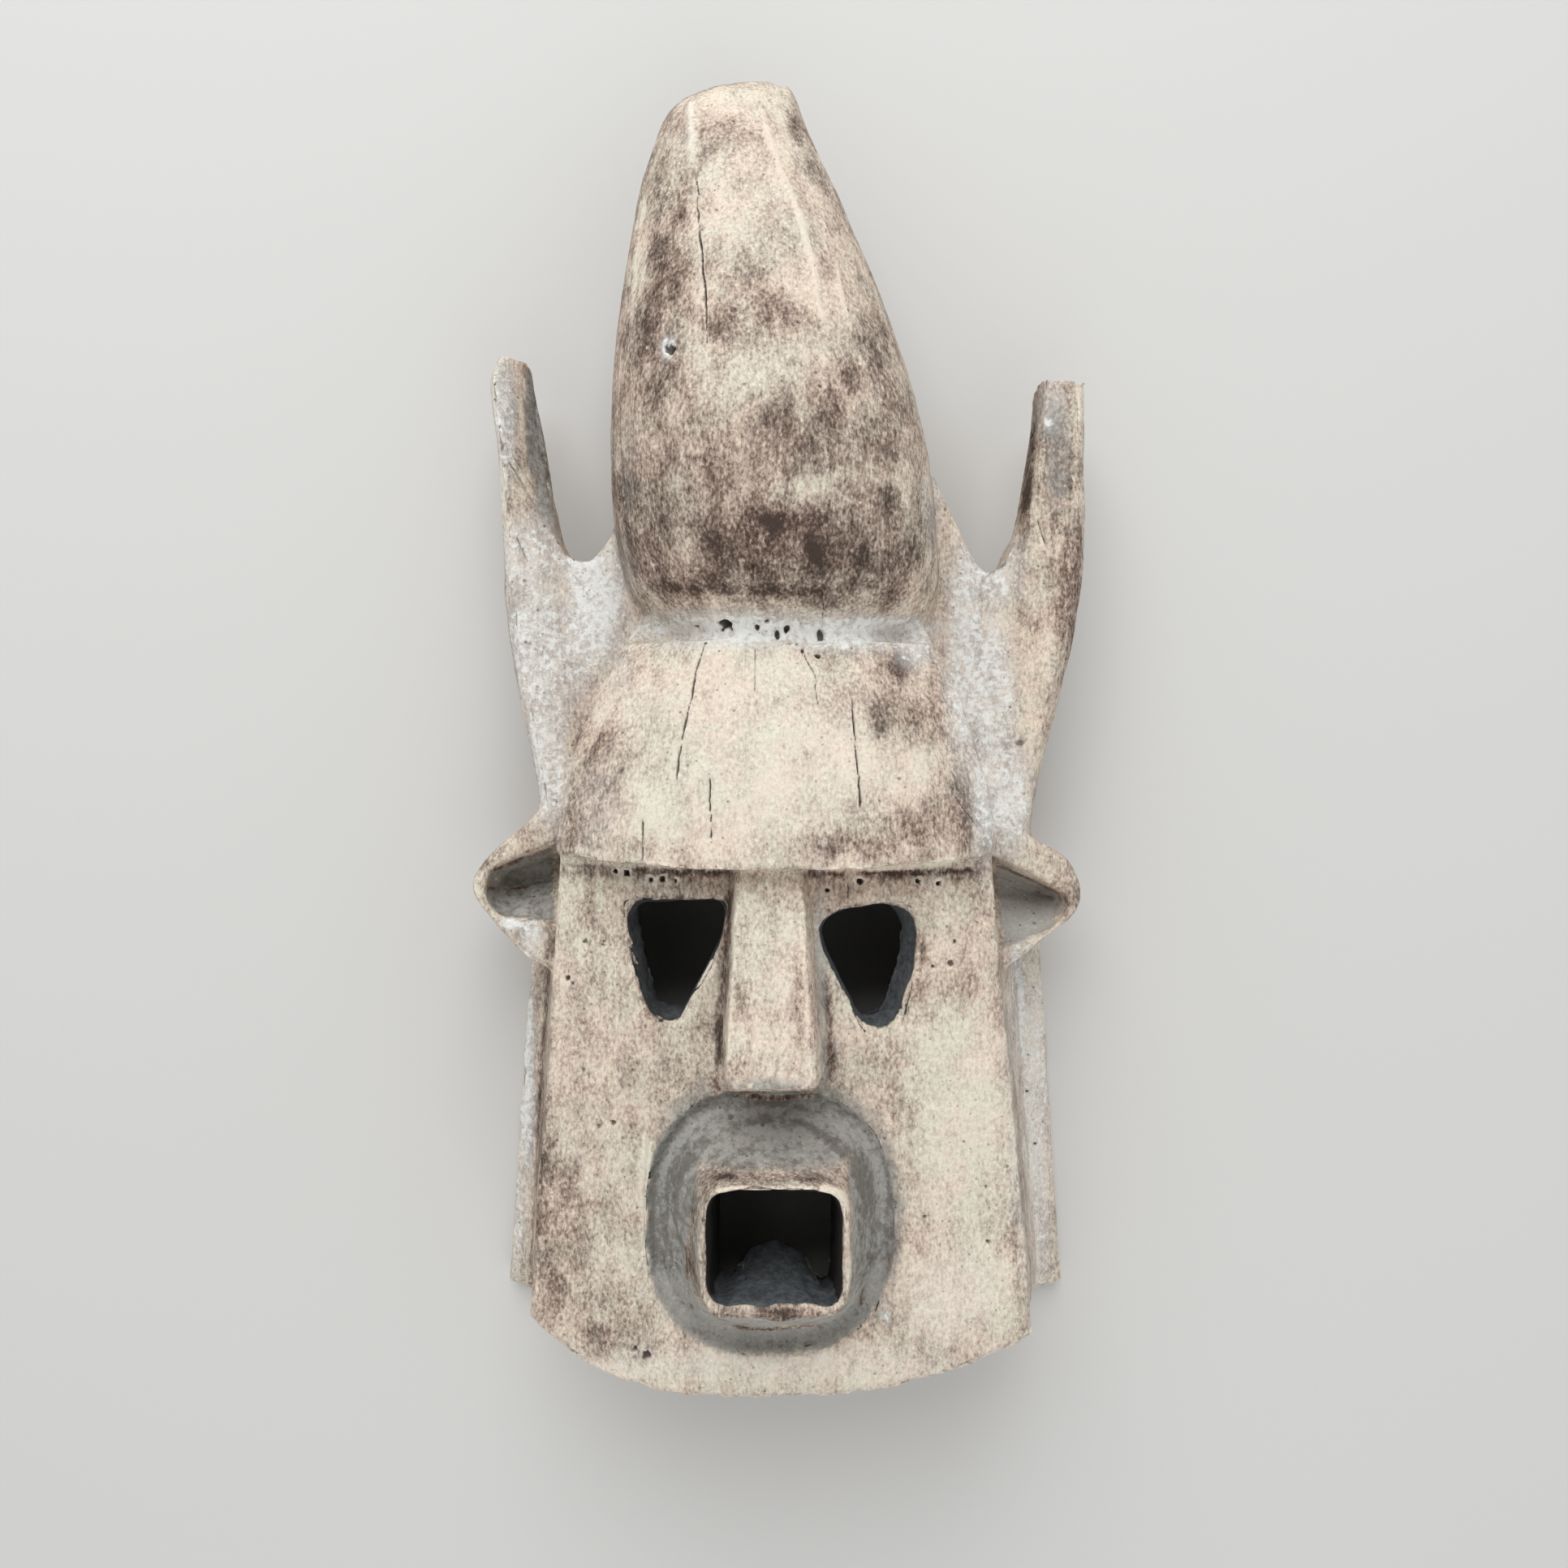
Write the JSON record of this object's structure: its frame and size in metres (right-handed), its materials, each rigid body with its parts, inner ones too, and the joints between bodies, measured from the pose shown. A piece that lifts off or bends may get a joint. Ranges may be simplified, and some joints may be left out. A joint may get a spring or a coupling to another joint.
{
  "type": "dogon face mask",
  "caption": "Carved face mask of light wood with an overhanging forehead, tall tongue-shaped crest, upright horns, leaf-shaped ears, wedge nose and projecting snout mouth, lying on its back.",
  "frame": {"origin": "middle of the mask's outline seen from the front, on the floor that the flat back lies on", "axes": "+Y from the chin to the tip of the crest, +X to the right of someone who looks at the face, +Z out of the face, up from the floor"},
  "size_m": [0.2436, 0.496, 0.121],
  "materials": {
    "weathered_wood": "dry, weathered, with worn brown patina and pale residue"
  },
  "bodies": {
    "root": {"mask_body": "weathered_wood"}
  },
  "joints": []
}
